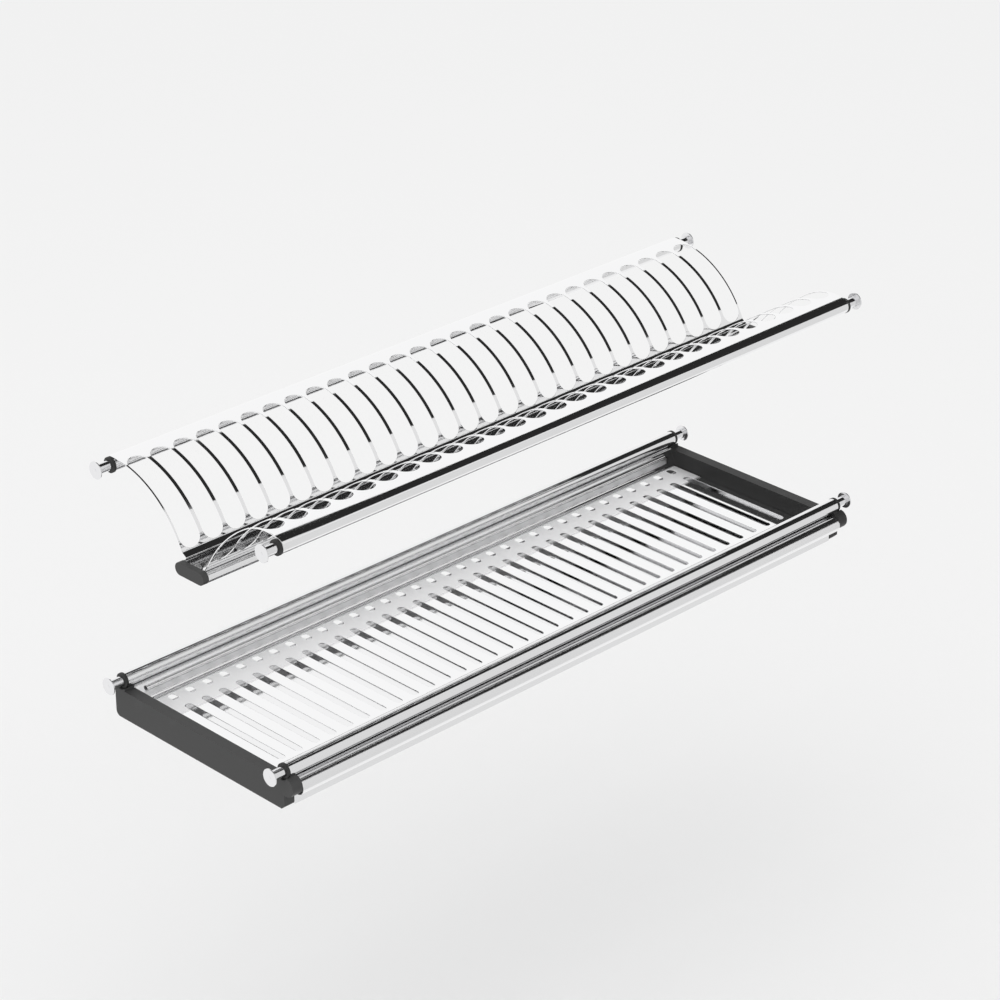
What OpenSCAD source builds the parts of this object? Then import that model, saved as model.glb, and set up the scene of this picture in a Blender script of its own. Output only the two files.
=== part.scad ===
// Cabinet dish rack: a plate rack above a cup shelf with a pull-out drip tray.
// Both racks hang between a cabinet's side panels on rails with sprung end pins.
// Millimetres. X runs along the rails, +Y is the back of the cabinet, +Z is up.

/* [Cabinet and rails] */
// Clear width between the cabinet's side panels, face to face of the end discs
cabinet_w = 864; // [764:1:964]
// Distance between the axes of the front and rear rails
rail_gap = 250; // [242:1:262]
// Height from the lower pair of rails to the upper pair
rack_gap = 245; // [225:1:290]
// Diameter of a rail tube
rail_d = 16; // [15:0.5:17]
// Wall of a rail tube
rail_wall = 1; // [0.8:0.1:1.2]

/* [Rail ends] */
// Diameter of the disc that rests in the cabinet's socket
disc_d = 19; // [17:0.5:21]
// Thickness of the disc
disc_t = 1.5; // [1:0.25:2.5]
// Bare length of the pin between its disc and its collar
pin_reach = 16; // [15.5:0.5:20]
// Diameter of the pin
pin_d = 11; // [9:0.5:11.5]
// Distance that the pin can be pushed into its rail
pin_travel = 12; // [8:0.5:12]
// Thickness of the collar's flange
collar_t = 3; // [2:0.5:3.5]
// Height of the collar's rim above the rail tube
collar_rim = 0.4; // [0.2:0.1:0.6]
// Depth of the collar inside the rail tube
collar_depth = 8; // [6:0.5:12]
// Length of the pin's spring with the pin out
spring_len = 40; // [36:1:48]

/* [Plate rack] */
// Number of plate slots
plate_slots = 28; // [25:1:32]
// Thickness of the rack's steel sheet
sheet_t = 1; // [0.8:0.1:1.2]
// Width of a rib between two slots
rib_w = 4.5; // [3.5:0.25:6]
// Radius of the curved comb behind the plates
comb_r = 115; // [110:1:124]
// Distance from the rear rail's axis forward to the tops of the comb's slots
comb_slot_inset = 14.5; // [13:0.5:20]
// Height of the front slots' lower ends above the valley floor
slot_foot_h = 12; // [9:0.5:14]
// Depth of the base channel's top below the rails' axes
base_drop = 67; // [64:0.5:70]
// Radius of the front sheet's rising curve
arch_r = 155; // [145:1:162]
// Radius of the front sheet's crest
crest_r = 65; // [60:1:70]
// Slope at which the front sheet stands in the base channel, in degrees
arch_foot_deg = 58; // [55:0.5:60]
// Height of the base channel
base_h = 14; // [13:0.5:18]
// Wall of the base channel
base_wall = 1.2; // [1:0.1:1.8]
// Thickness of a base channel's end cap
base_cap_t = 7; // [5:0.5:9]

/* [Cup shelf] */
// Number of columns of drain slots
drain_columns = 35; // [29:1:35]
// Pitch of the columns of drain slots
drain_pitch = 22.9; // [20:0.1:22.9]
// Width of a drain slot
drain_w = 9; // [7:0.5:11]
// Length of the long drain slots
drain_len = 152; // [140:1:156]
// Length of the short drain slots at the back
short_drain_len = 13; // [11:0.5:15]
// Solid strip between the short and the long drain slots
drain_bridge = 14; // [12:0.5:18]
// Thickness of the shelf's steel sheet
shelf_t = 0.8; // [0.7:0.1:1]
// Depth of the shelf's floor below the rails' axes
shelf_drop = 29; // [28.5:0.25:29.5]
// Radius of the bead bar along the back wall
bead_r = 3; // [2.5:0.25:3.5]

/* [Side plates and front profile] */
// Thickness of a side plate
plate_t = 13; // [11:0.5:14]
// Depth of the side plates' lower edge below the rails' axes
plate_drop = 42; // [42:0.5:48]
// Depth of the side plates' upper edge below the rails' axes
plate_top_drop = 9; // [8.75:0.25:10]
// Height of the front profile
bumper_h = 18.5; // [16:0.5:18.5]
// Reach of the front profile ahead of the front rail's axis
bumper_reach = 17.5; // [16.5:0.5:20]
// Wall of the front profile
bumper_wall = 1.2; // [1:0.1:1.8]

/* [Drip tray] */
// Distance that the tray slides out before its lugs stop it
tray_travel = 180; // [140:1:180]
// Depth of the tray from its front to its back wall
tray_depth = 232; // [226:1:234]
// Thickness of the tray's walls and floor
tray_wall = 1.2; // [1:0.1:1.6]
// Thickness of the tray's front
tray_front_t = 3; // [2.5:0.25:4]

/* [Hidden] */
$fn = 96;
// Overrun of every cut past the face that it opens
cut = 2;
// Running clearance of a pin in its collar
pin_fit = 0.05;
// Clearance of a pressed-in plug in its tube
plug_fit = 0.05;
// Clearance between pieces that move past each other
slide_gap = 0.3;
// Clearance of a piece between the side plates
end_gap = 0.5;

// Rails and rail ends; the ends are worked out from the end of the tube
rail_r = rail_d / 2;
rail_bore_r = rail_r - rail_wall;
front_y = -rail_gap / 2;
rear_y = rail_gap / 2;
tube_half = cabinet_w / 2 - disc_t - pin_reach - collar_t;
collar_r = rail_r + collar_rim;
// Chamfer of the edges of discs and collars
edge_chamfer = 0.2;
// Length of the pin's shoulder behind its collar
shoulder_t = 4;
// Diameter of the pin's stem inside its spring
stem_d = 6;
// Radial clearance of the spring on the stem and in the tube
spring_gap = 0.5;
// Thickness of the plug that the spring pushes on
stop_t = 3;
shoulder_x = -collar_depth - slide_gap;
spring_x = shoulder_x - shoulder_t;
stop_x = spring_x - spring_len;
stem_len = spring_len - pin_travel - slide_gap;

// Plate rack: the comb runs from the rear rail down to the valley floor
sheet_r = sheet_t / 2;
crown_z = rack_gap + rail_r + sheet_t;
slot_w = 2 * tube_half / plate_slots - rib_w;
slot_r = slot_w / 2;
// Relief by which the round ends of a plate slot are wider than its sides
slot_relief = 0.05;
base_top_z = rack_gap - base_drop;
// Depth of the valley floor in the top of the base channel
floor_drop = 2.5;
floor_z = base_top_z - floor_drop;
// Height of the comb's curved part above the valley floor
comb_lift = 9.8;
// Forward kick of the comb's foot, its fall there and its step back below
kick_y = 6.3;
kick_z = 4;
kick_back = 2.3;
// Width of the flanges that lie on the valley floor
foot_flange = 7;
// Sweep of the comb's hook behind the rear rail, in degrees
hook_sweep = 110;
// Solid arc below the comb's slots
comb_slot_foot = 1;
comb_centre = [rear_y, crown_z - comb_r];
comb_sweep = acos((floor_z + comb_lift - comb_centre[1]) / comb_r);
comb_slot_high_deg = asin(comb_slot_inset / comb_r) + arc_deg(slot_r, comb_r);
comb_slot_low_deg = comb_sweep - arc_deg(slot_r + comb_slot_foot, comb_r);
comb_end = comb_centre - (comb_r - sheet_r) * [sin(comb_sweep), -cos(comb_sweep)];
comb_knee = comb_end - [kick_y, kick_z];
comb_foot_y = comb_knee[0] + kick_back;
comb_foot = [comb_foot_y, floor_z + sheet_r];

// Plate rack: the front sheet, from the front rail back to the valley floor
// Slope at which the sheet comes down onto the front rail, in degrees
land_deg = 13;
// Flat width of the sheet behind the front rail
land_w = 1.5;
// Sweep of the sheet's lip over the front rail, in degrees
lip_sweep = 43;
// Slope where the rising curve meets the crest, in degrees
arch_turn_deg = 30;
// Slope at the centres of the slots' round upper ends, in degrees
arch_slot_deg = 10;
// Lap of the crest over the bends beside it, and its height on each face
lap_w = 0.4;
lap_t = 0.02;
land_point = [front_y, rack_gap] + (rail_r + sheet_r) * normal(-land_deg);
crest_start = land_point - land_w * forward(-land_deg);
crest_centre = crest_start - (crest_r - sheet_r) * normal(-land_deg);
crest_end = crest_centre + (crest_r - sheet_r) * normal(arch_turn_deg);
arch_centre = crest_end - (arch_r - sheet_r) * normal(arch_turn_deg);
arch_end = arch_centre + (arch_r - sheet_r) * normal(arch_foot_deg);
arch_run = (arch_end[1] - floor_z - sheet_r) / sin(arch_foot_deg);
arch_foot = arch_end - arch_run * forward(arch_foot_deg);
arch_low = arch_foot + (slot_foot_h / sin(arch_foot_deg) + slot_r) * forward(arch_foot_deg);
arch_high = crest_centre + (crest_r - sheet_r) * normal(arch_slot_deg);
// Thickness of the band that cuts a slot through a sheet
cut_band = 8;
// Reach of the half planes that end that band
cut_reach = rail_gap;

// Base channel and its end caps
// Width of the base channel outside the sheets' feet
base_shoulder = 7;
// Clearance of the valley beside each foot
foot_clear = 1.5;
// Depth of an end cap's plug inside the channel
base_plug = 8;
// Width and depth of the grooves along the channel's front, and their heights
groove_w = 1.2;
groove_d = 0.5;
groove_height_shares = [0.3, 0.7];
base_r = base_h / 2;
base_front_y = arch_foot[0] - base_shoulder;
base_rear_y = comb_foot_y + base_shoulder;
// Front edge of the valley, clear of the front sheet where it slopes out of it
valley_front_y = arch_foot[0] - foot_clear - floor_drop / tan(arch_foot_deg);

// Side plates and what lies between them
// Length of a side plate outside the end of the rail tube
plate_overhang = 5.5;
// Reach of the side plates behind the rear rail's axis
plate_rear_reach = 8.5;
// Reach of the side plates' lower body ahead of the front rail's axis
plate_front_reach = 3.6;
// Radius of the rounded nose around the front profile's end, and its setbacks
nose_r = 10.5;
nose_set_y = 11;
nose_set_z = 2.75;
// Radii of the side plates' rear corners and the chamfer of the front one
plate_corner_r = 6;
plate_top_corner_r = 3;
plate_chamfer = 4.5;
// Half width and height of the saddles that carry the rails
saddle_half = 7;
saddle_h = 2.5;
// Width of the ledges inside the side plates
ledge_w = 4;
// Height of a ledge
ledge_h = 2;
plate_outer = tube_half + plate_overhang;
plate_inner = plate_outer - plate_t;

// Front profile
bumper_r = bumper_h / 2;
bumper_top = -rail_r - end_gap;
bumper_z = bumper_top - bumper_r;
bumper_y = front_y - bumper_reach + bumper_r;

// Cup shelf
// Distance from the rear rail's axis forward to the back wall's face
back_wall_set = 8;
// Distance from the front rail's axis back to the front wall's face
front_wall_set = 13;
// Inner radii of the bends along the back and the front of the floor
back_bend_r = 4;
front_bend_r = 4;
// Height of the front wall above the floor
front_wall_h = 17;
// Distance from the back wall to the short drain slots
drain_set = 8;
// Distance from the rails' axes down to the bead bar's axis
bead_drop = 15;
// Shortfall of the bead bar and of the strip below it at each end
bead_end = 13;
strip_end = 8;
// Thickness of the strip below the bead bar, its top below the bar and its height
strip_t = 0.8;
strip_gap = 0.6;
strip_h = 6.4;
back_wall_y = rear_y - back_wall_set;
front_wall_y = front_y + front_wall_set;
floor_top = -shelf_drop;
shelf_half = plate_inner - end_gap;
drain_back_y = back_wall_y - drain_set;
drain_long_y = drain_back_y - short_drain_len - drain_bridge;

// Drip tray
// Thickness of the tray's side flanges
flange_t = 1;
// Distance from the tray's floor up to the side plates' lower edge
tray_lift = 1;
// Length of the tray's stop lugs
lug_len = 12;
// Length of the stop blocks that meet them
stop_len = 12;
// Distance from the rear rail's axis forward to the ends of the ledges
ledge_set = 19;
ledge_top = floor_top - shelf_t;
flange_top = ledge_top - ledge_h - slide_gap;
runner_top = flange_top - flange_t - slide_gap;
lug_top = runner_top - ledge_h - slide_gap;
tray_bottom = -plate_drop + tray_lift;
tray_front_y = front_y - tray_front_t;
tray_back_y = tray_front_y + tray_depth;
tray_half = plate_inner - ledge_w - end_gap;
flange_half = plate_inner - end_gap;
lug_front_y = tray_back_y - lug_len;
stop_rear_y = lug_front_y - tray_travel - slide_gap;
ledge_rear_y = rear_y - ledge_set;
ledge_front_y = front_y + slide_gap;

// The origin is the middle of the part's footprint, at its lowest point
y_min = front_y - bumper_reach;
y_max = rear_y + max(disc_d / 2, plate_rear_reach, rail_r + sheet_t);
origin_y = -(y_min + y_max) / 2;
origin_z = plate_drop;

// Unit vectors in the plane across the rails, for a sheet that rises forward
function normal(slope) = [sin(slope), cos(slope)];
function forward(slope) = [-cos(slope), sin(slope)];
// Angle that an arc of a given length takes on a radius
function arc_deg(arc, radius) = arc / radius * 180 / PI;

// Puts a piece from the rails' frame into the part's frame
module place() {
  translate([0, origin_y, origin_z]) children();
}

// Extrudes an outline of the plane across the rails, centred on the part
module along_rails(length) {
  rotate([90, 0, 90]) linear_extrude(length, center = true) children();
}

// Extrudes such an outline from one X to another
module between(x_low, x_high) {
  translate([x_low, 0, 0])
    rotate([90, 0, 90]) linear_extrude(x_high - x_low) children();
}

// A ring's sector around the origin, angles counted from +Y towards +Z
module ring_sector(r_in, r_out, from, to) {
  reach = 2 * r_out;
  steps = ceil((to - from) / 45);
  intersection() {
    difference() {
      circle(r = r_out);
      circle(r = r_in);
    }
    polygon(concat([[0, 0]], [
      for (i = [0 : steps])
        reach * [cos(from + (to - from) * i / steps), sin(from + (to - from) * i / steps)]
    ]));
  }
}

// A strip of sheet with its middle on a chain of points and round bends, lapped like the crest
module strip(points, thickness) {
  for (i = [0 : len(points) - 2]) {
    run = points[i + 1] - points[i];
    translate(points[i])
      rotate(atan2(run[1], run[0]))
        translate([0, -thickness / 2]) square([norm(run), thickness]);
  }
  for (i = [1 : len(points) - 2]) {
    translate(points[i]) circle(d = thickness + 2 * lap_t);
  }
}

// A bar's outline with half-round ends
module stadium(y_low, y_high, z_low, z_high) {
  radius = (z_high - z_low) / 2;
  for (y = [y_low + radius, y_high - radius]) {
    translate([y, z_low + radius]) circle(r = radius);
  }
  translate([y_low + radius, z_low]) square([y_high - y_low - 2 * radius, 2 * radius]);
}

// Rails
module rail_tube(y, z) {
  place() translate([0, y, z]) along_rails(2 * tube_half) difference() {
    circle(r = rail_r);
    circle(r = rail_bore_r);
  }
}

module upper_rear_rail() {
  color("Gainsboro") rail_tube(rear_y, rack_gap);
}

module upper_front_rail() {
  color("Gainsboro") rail_tube(front_y, rack_gap);
}

module lower_rear_rail() {
  color("Gainsboro") rail_tube(rear_y, 0);
}

module lower_front_rail() {
  color("Gainsboro") rail_tube(front_y, 0);
}

// Rail ends: the children are drawn on the rail's axis, +X outward from the tube's end
module at_end(y, z, side) {
  place() translate([side * tube_half, y, z])
    mirror([side < 0 ? 1 : 0, 0, 0]) children();
}

// A disc or a tube across the rail's axis, from x to x + length
module turned(x, length, radius, bore = 0) {
  translate([x, 0, 0]) rotate([0, 90, 0]) difference() {
    cylinder(r = radius, h = length);
    if (bore > 0) {
      translate([0, 0, -cut]) cylinder(r = bore, h = length + 2 * cut);
    }
  }
}

// A disc with a chamfer on both edges
module chamfered(x, length, radius) {
  turned(x + edge_chamfer, length - 2 * edge_chamfer, radius);
  translate([x, 0, 0]) rotate([0, 90, 0])
    cylinder(r1 = radius - edge_chamfer, r2 = radius, h = edge_chamfer);
  translate([x + length - edge_chamfer, 0, 0]) rotate([0, 90, 0])
    cylinder(r1 = radius, r2 = radius - edge_chamfer, h = edge_chamfer);
}

module end_collar() {
  color("DimGray") difference() {
    union() {
      chamfered(0, collar_t, collar_r);
      turned(-collar_depth, collar_depth + edge_chamfer, rail_bore_r - plug_fit);
    }
    turned(-collar_depth - cut, collar_depth + collar_t + 2 * cut, pin_d / 2 + pin_fit);
  }
}

module end_pin() {
  color("Silver") union() {
    chamfered(collar_t + pin_reach, disc_t, disc_d / 2);
    turned(shoulder_x, collar_t + pin_reach - shoulder_x + disc_t / 2, pin_d / 2);
    turned(spring_x, shoulder_t, rail_bore_r - slide_gap);
    turned(spring_x - stem_len, stem_len, stem_d / 2);
  }
}

module end_spring() {
  color("Gray") turned(stop_x, spring_len, rail_bore_r - spring_gap, stem_d / 2 + spring_gap);
}

module end_stop() {
  color("DarkGray") turned(stop_x - stop_t, stop_t, rail_bore_r - plug_fit);
}

module upper_rear_left_collar() {
  at_end(rear_y, rack_gap, -1) end_collar();
}

module upper_rear_left_pin() {
  at_end(rear_y, rack_gap, -1) end_pin();
}

module upper_rear_left_spring() {
  at_end(rear_y, rack_gap, -1) end_spring();
}

module upper_rear_left_stop() {
  at_end(rear_y, rack_gap, -1) end_stop();
}

module upper_rear_right_collar() {
  at_end(rear_y, rack_gap, 1) end_collar();
}

module upper_rear_right_pin() {
  at_end(rear_y, rack_gap, 1) end_pin();
}

module upper_rear_right_spring() {
  at_end(rear_y, rack_gap, 1) end_spring();
}

module upper_rear_right_stop() {
  at_end(rear_y, rack_gap, 1) end_stop();
}

module upper_front_left_collar() {
  at_end(front_y, rack_gap, -1) end_collar();
}

module upper_front_left_pin() {
  at_end(front_y, rack_gap, -1) end_pin();
}

module upper_front_left_spring() {
  at_end(front_y, rack_gap, -1) end_spring();
}

module upper_front_left_stop() {
  at_end(front_y, rack_gap, -1) end_stop();
}

module upper_front_right_collar() {
  at_end(front_y, rack_gap, 1) end_collar();
}

module upper_front_right_pin() {
  at_end(front_y, rack_gap, 1) end_pin();
}

module upper_front_right_spring() {
  at_end(front_y, rack_gap, 1) end_spring();
}

module upper_front_right_stop() {
  at_end(front_y, rack_gap, 1) end_stop();
}

module lower_rear_left_collar() {
  at_end(rear_y, 0, -1) end_collar();
}

module lower_rear_left_pin() {
  at_end(rear_y, 0, -1) end_pin();
}

module lower_rear_left_spring() {
  at_end(rear_y, 0, -1) end_spring();
}

module lower_rear_left_stop() {
  at_end(rear_y, 0, -1) end_stop();
}

module lower_rear_right_collar() {
  at_end(rear_y, 0, 1) end_collar();
}

module lower_rear_right_pin() {
  at_end(rear_y, 0, 1) end_pin();
}

module lower_rear_right_spring() {
  at_end(rear_y, 0, 1) end_spring();
}

module lower_rear_right_stop() {
  at_end(rear_y, 0, 1) end_stop();
}

module lower_front_left_collar() {
  at_end(front_y, 0, -1) end_collar();
}

module lower_front_left_pin() {
  at_end(front_y, 0, -1) end_pin();
}

module lower_front_left_spring() {
  at_end(front_y, 0, -1) end_spring();
}

module lower_front_left_stop() {
  at_end(front_y, 0, -1) end_stop();
}

module lower_front_right_collar() {
  at_end(front_y, 0, 1) end_collar();
}

module lower_front_right_pin() {
  at_end(front_y, 0, 1) end_pin();
}

module lower_front_right_spring() {
  at_end(front_y, 0, 1) end_spring();
}

module lower_front_right_stop() {
  at_end(front_y, 0, 1) end_stop();
}

// Plate rack: the comb that the plates lean on, in one sheet with its hook and foot
module comb_outline() {
  translate([rear_y, rack_gap]) ring_sector(rail_r, rail_r + sheet_t, 90 - hook_sweep, 90);
  translate(comb_centre) {
    ring_sector(comb_r - sheet_t, comb_r, 90, 90 + comb_sweep);
    // Fine steps where the slots' round ends begin, so that every rib has faces of its own
    for (deg = [comb_slot_high_deg, comb_slot_low_deg]) {
      ring_sector(comb_r - sheet_t - lap_t, comb_r + lap_t,
                  90 + deg - arc_deg(lap_w, comb_r), 90 + deg + arc_deg(lap_w, comb_r));
    }
  }
  strip([comb_end, comb_knee, comb_foot, comb_foot - [foot_flange, 0]], sheet_t);
}

module comb_slot_band() {
  translate(comb_centre)
    ring_sector(comb_r - cut_band, comb_r + cut_band,
                90 + comb_slot_high_deg, 90 + comb_slot_low_deg);
}

module comb_slot_ends() {
  for (end = [[comb_slot_high_deg, -90], [comb_slot_low_deg, 90]]) {
    translate([0, comb_centre[0], comb_centre[1]]) rotate([end[0], 0, 0])
      translate([0, 0, comb_r - cut_band]) rotate(end[1])
        cylinder(r = slot_r, h = 2 * cut_band);
  }
}

// One copy for each plate slot, centred on its slot
module at_slots() {
  for (i = [0 : plate_slots - 1]) {
    translate([(i + 1 / 2 - plate_slots / 2) * (slot_w + rib_w), 0, 0]) children();
  }
}

module plate_comb() {
  color("WhiteSmoke") place() difference() {
    along_rails(2 * tube_half) comb_outline();
    at_slots() {
      along_rails(slot_w - 2 * slot_relief) comb_slot_band();
      comb_slot_ends();
    }
  }
}

// Plate rack: the front sheet, bent forward over its crest and down onto the front rail
module front_sheet_outline(thickness) {
  half = thickness / 2;
  translate([front_y, rack_gap])
    ring_sector(rail_r + sheet_r - half, rail_r + sheet_r + half,
                90 + land_deg, 90 + land_deg + lip_sweep);
  strip([land_point, crest_start], thickness);
  translate(crest_centre)
    ring_sector(crest_r - sheet_r - half - lap_t, crest_r - sheet_r + half + lap_t,
                90 - arch_turn_deg - arc_deg(lap_w, crest_r),
                90 + land_deg + arc_deg(lap_w, crest_r));
  translate(arch_centre)
    ring_sector(arch_r - sheet_r - half, arch_r - sheet_r + half,
                90 - arch_foot_deg, 90 - arch_turn_deg);
  // Laps over the joints at the lip and at the foot's straight run
  translate(land_point) rotate(land_deg)
    translate([-lap_w, 0]) square([2 * lap_w, half + lap_t]);
  translate(arch_end) circle(d = thickness + 2 * lap_t);
}

module front_slot_band() {
  intersection() {
    union() {
      front_sheet_outline(cut_band);
      strip([arch_end, arch_foot], cut_band);
    }
    translate(arch_low) rotate(-arch_foot_deg)
      translate([-cut_reach, -cut_reach]) square([cut_reach, 2 * cut_reach]);
    translate(arch_high) rotate(-arch_slot_deg)
      translate([0, -cut_reach]) square([cut_reach, 2 * cut_reach]);
  }
}

module front_slot_ends() {
  for (end = [[arch_low, arch_foot_deg, -90], [arch_high, arch_slot_deg, 90]]) {
    translate([0, end[0][0], end[0][1]]) rotate([-end[1], 0, 0])
      translate([0, 0, -cut_band]) rotate(end[2])
        cylinder(r = slot_r, h = 2 * cut_band);
  }
}

module plate_front_sheet() {
  color("WhiteSmoke") place() difference() {
    along_rails(2 * tube_half) {
      front_sheet_outline(sheet_t);
      strip([arch_end, arch_foot, arch_foot + [foot_flange, 0]], sheet_t);
    }
    at_slots() {
      along_rails(slot_w - 2 * slot_relief) front_slot_band();
      front_slot_ends();
    }
  }
}

// Plate rack: the hollow base channel under the valley, and its end caps
module base_outline() {
  stadium(base_front_y, base_rear_y, base_top_z - base_h, base_top_z);
}

module base_bore(clearance) {
  inset = base_wall + clearance;
  intersection() {
    stadium(base_front_y + inset, base_rear_y - inset,
            base_top_z - base_h + inset, base_top_z - inset);
    translate([base_front_y, base_top_z - base_h])
      square([base_rear_y - base_front_y, base_h - floor_drop - inset]);
  }
}

module base_channel() {
  color("Gainsboro") place() along_rails(2 * tube_half) difference() {
    base_outline();
    base_bore(0);
    translate([valley_front_y, floor_z])
      square([comb_foot_y + foot_clear - valley_front_y, floor_drop + cut]);
    for (share = groove_height_shares) {
      translate([base_front_y + base_r, base_top_z - base_r])
        rotate(180 * share - 90 + 180)
          translate([base_r - groove_d, -groove_w / 2]) square([groove_d + cut, groove_w]);
    }
  }
}

module base_cap() {
  color("DimGray") {
    between(tube_half, tube_half + base_cap_t) base_outline();
    between(tube_half - base_plug, tube_half) base_bore(plug_fit);
  }
}

module base_cap_left() {
  place() mirror([1, 0, 0]) base_cap();
}

module base_cap_right() {
  place() base_cap();
}

// Cup shelf: the slotted floor with its back and front walls in one sheet
module shelf_outline() {
  translate([back_wall_y - back_bend_r, floor_top + back_bend_r])
    ring_sector(back_bend_r, back_bend_r + shelf_t, -90, 0);
  translate([front_wall_y + front_bend_r, floor_top + front_bend_r])
    ring_sector(front_bend_r, front_bend_r + shelf_t, 180, 270);
  translate([front_wall_y + front_bend_r, floor_top - shelf_t])
    square([back_wall_y - back_bend_r - front_wall_y - front_bend_r, shelf_t]);
  translate([back_wall_y, floor_top + back_bend_r])
    square([shelf_t, -rail_r - floor_top - back_bend_r]);
  translate([back_wall_y, -rail_r - shelf_t])
    square([rear_y - back_wall_y, shelf_t]);
  translate([front_wall_y - shelf_t, floor_top + front_bend_r])
    square([shelf_t, front_wall_h - front_bend_r]);
}

// A drain slot with round ends, from its back end forward
module drain_slot(back_y, length) {
  radius = drain_w / 2;
  depth = shelf_t + 2 * cut;
  translate([0, 0, floor_top - shelf_t - cut]) {
    translate([0, back_y - radius, 0]) cylinder(r = radius, h = depth);
    translate([0, back_y - length + radius, 0]) cylinder(r = radius, h = depth);
    translate([-radius, back_y - length + radius, 0])
      cube([drain_w, length - drain_w, depth]);
  }
}

module cup_shelf() {
  color("WhiteSmoke") place() difference() {
    along_rails(2 * shelf_half) shelf_outline();
    for (i = [0 : drain_columns - 1]) {
      translate([(i - (drain_columns - 1) / 2) * drain_pitch, 0, 0]) {
        drain_slot(drain_back_y, short_drain_len);
        drain_slot(drain_long_y, drain_len);
      }
    }
  }
}

// Cup shelf: the half-round bar and the flat strip along the back wall
module bead_bar() {
  color("Gainsboro") place() {
    along_rails(2 * (shelf_half - bead_end)) translate([back_wall_y, -bead_drop])
      ring_sector(0, bead_r, 90, 270);
    along_rails(2 * (shelf_half - strip_end))
      translate([back_wall_y - strip_t, -bead_drop - bead_r - strip_gap - strip_h])
        square([strip_t, strip_h]);
  }
}

// Front profile: a hollow bar with a half-round front between the side plates
module bumper_outline(inset) {
  translate([bumper_y, bumper_z]) circle(r = bumper_r - inset);
  translate([bumper_y, bumper_z - bumper_r + inset])
    square([front_wall_y - shelf_t - inset - bumper_y, bumper_h - 2 * inset]);
}

module front_profile() {
  color("Gainsboro") place() along_rails(2 * plate_inner) difference() {
    bumper_outline(0);
    bumper_outline(bumper_wall);
  }
}

// Side plates, drawn for the right-hand end
module side_plate_outline() {
  low = -plate_drop;
  top = -plate_top_drop;
  front = front_y - plate_front_reach;
  rear = rear_y + plate_rear_reach;
  polygon([
    [front, low + plate_chamfer],
    [front + plate_chamfer, low],
    [rear - plate_corner_r, low],
    [rear - plate_corner_r, top],
    [front, top],
  ]);
  translate([rear - plate_corner_r, low + plate_corner_r]) circle(r = plate_corner_r);
  translate([rear - plate_top_corner_r, top - plate_top_corner_r])
    circle(r = plate_top_corner_r);
  translate([rear - plate_corner_r, low + plate_corner_r])
    square([plate_corner_r, top - plate_top_corner_r - low - plate_corner_r]);
  translate([rear - plate_corner_r, low + plate_corner_r])
    square([plate_corner_r - plate_top_corner_r, top - low - plate_corner_r]);
}

module nose_outline() {
  nose_y = front_y - bumper_reach + nose_set_y;
  nose_z = -nose_r - rail_r / 2 - end_gap;
  translate([nose_y, nose_z]) circle(r = nose_r);
  translate([nose_y, nose_z - nose_r])
    square([front_y - nose_y, 2 * nose_r]);
}

module saddle_outline(y) {
  translate([y - saddle_half, -plate_top_drop - saddle_h])
    square([2 * saddle_half, 2 * saddle_h]);
}

module side_plate() {
  color("DimGray") difference() {
    union() {
      between(plate_inner, plate_outer) {
        side_plate_outline();
        nose_outline();
        saddle_outline(front_y);
        saddle_outline(rear_y);
      }
      between(plate_inner - ledge_w, plate_inner) {
        translate([front_wall_y + front_bend_r, ledge_top - ledge_h])
          square([ledge_rear_y - front_wall_y - front_bend_r, ledge_h]);
        translate([ledge_front_y, runner_top - ledge_h])
          square([ledge_rear_y - ledge_front_y, ledge_h]);
        translate([stop_rear_y - stop_len, -plate_drop])
          square([stop_len, runner_top - ledge_h + plate_drop]);
      }
    }
    for (y = [front_y, rear_y]) {
      translate([0, y, 0]) {
        turned(plate_inner - cut, tube_half - plate_inner + cut, rail_r);
        turned(tube_half, plate_overhang + cut, collar_r + end_gap / 2);
      }
    }
  }
}

module side_plate_left() {
  place() mirror([1, 0, 0]) side_plate();
}

module side_plate_right() {
  place() side_plate();
}

// Drip tray: a shallow pan on two side flanges, with a front and two stop lugs
module drip_tray() {
  tray_h = flange_top - tray_bottom;
  color("Gainsboro") place() {
    difference() {
      translate([-tray_half, tray_front_y, tray_bottom])
        cube([2 * tray_half, tray_depth, tray_h]);
      translate([-tray_half + tray_wall, tray_front_y + tray_front_t, tray_bottom + tray_wall])
        cube([2 * (tray_half - tray_wall), tray_depth - tray_front_t - tray_wall, tray_h]);
    }
    translate([-flange_half, tray_front_y, tray_bottom])
      cube([2 * flange_half, tray_front_t, bumper_top - bumper_h - slide_gap - tray_bottom]);
    for (side = [0, 1]) {
      mirror([side, 0, 0]) {
        translate([tray_half - tray_wall, tray_front_y, flange_top - flange_t])
          cube([flange_half - tray_half + tray_wall, tray_depth, flange_t]);
        translate([tray_half - tray_wall, lug_front_y, tray_bottom])
          cube([flange_half - tray_half + tray_wall, lug_len, lug_top - tray_bottom]);
      }
    }
  }
}

upper_rear_rail();
upper_front_rail();
plate_comb();
plate_front_sheet();
base_channel();
base_cap_left();
base_cap_right();
lower_rear_rail();
lower_front_rail();
cup_shelf();
bead_bar();
front_profile();
side_plate_left();
side_plate_right();
drip_tray();
upper_rear_left_collar();
upper_rear_left_pin();
upper_rear_left_spring();
upper_rear_left_stop();
upper_rear_right_collar();
upper_rear_right_pin();
upper_rear_right_spring();
upper_rear_right_stop();
upper_front_left_collar();
upper_front_left_pin();
upper_front_left_spring();
upper_front_left_stop();
upper_front_right_collar();
upper_front_right_pin();
upper_front_right_spring();
upper_front_right_stop();
lower_rear_left_collar();
lower_rear_left_pin();
lower_rear_left_spring();
lower_rear_left_stop();
lower_rear_right_collar();
lower_rear_right_pin();
lower_rear_right_spring();
lower_rear_right_stop();
lower_front_left_collar();
lower_front_left_pin();
lower_front_left_spring();
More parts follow.
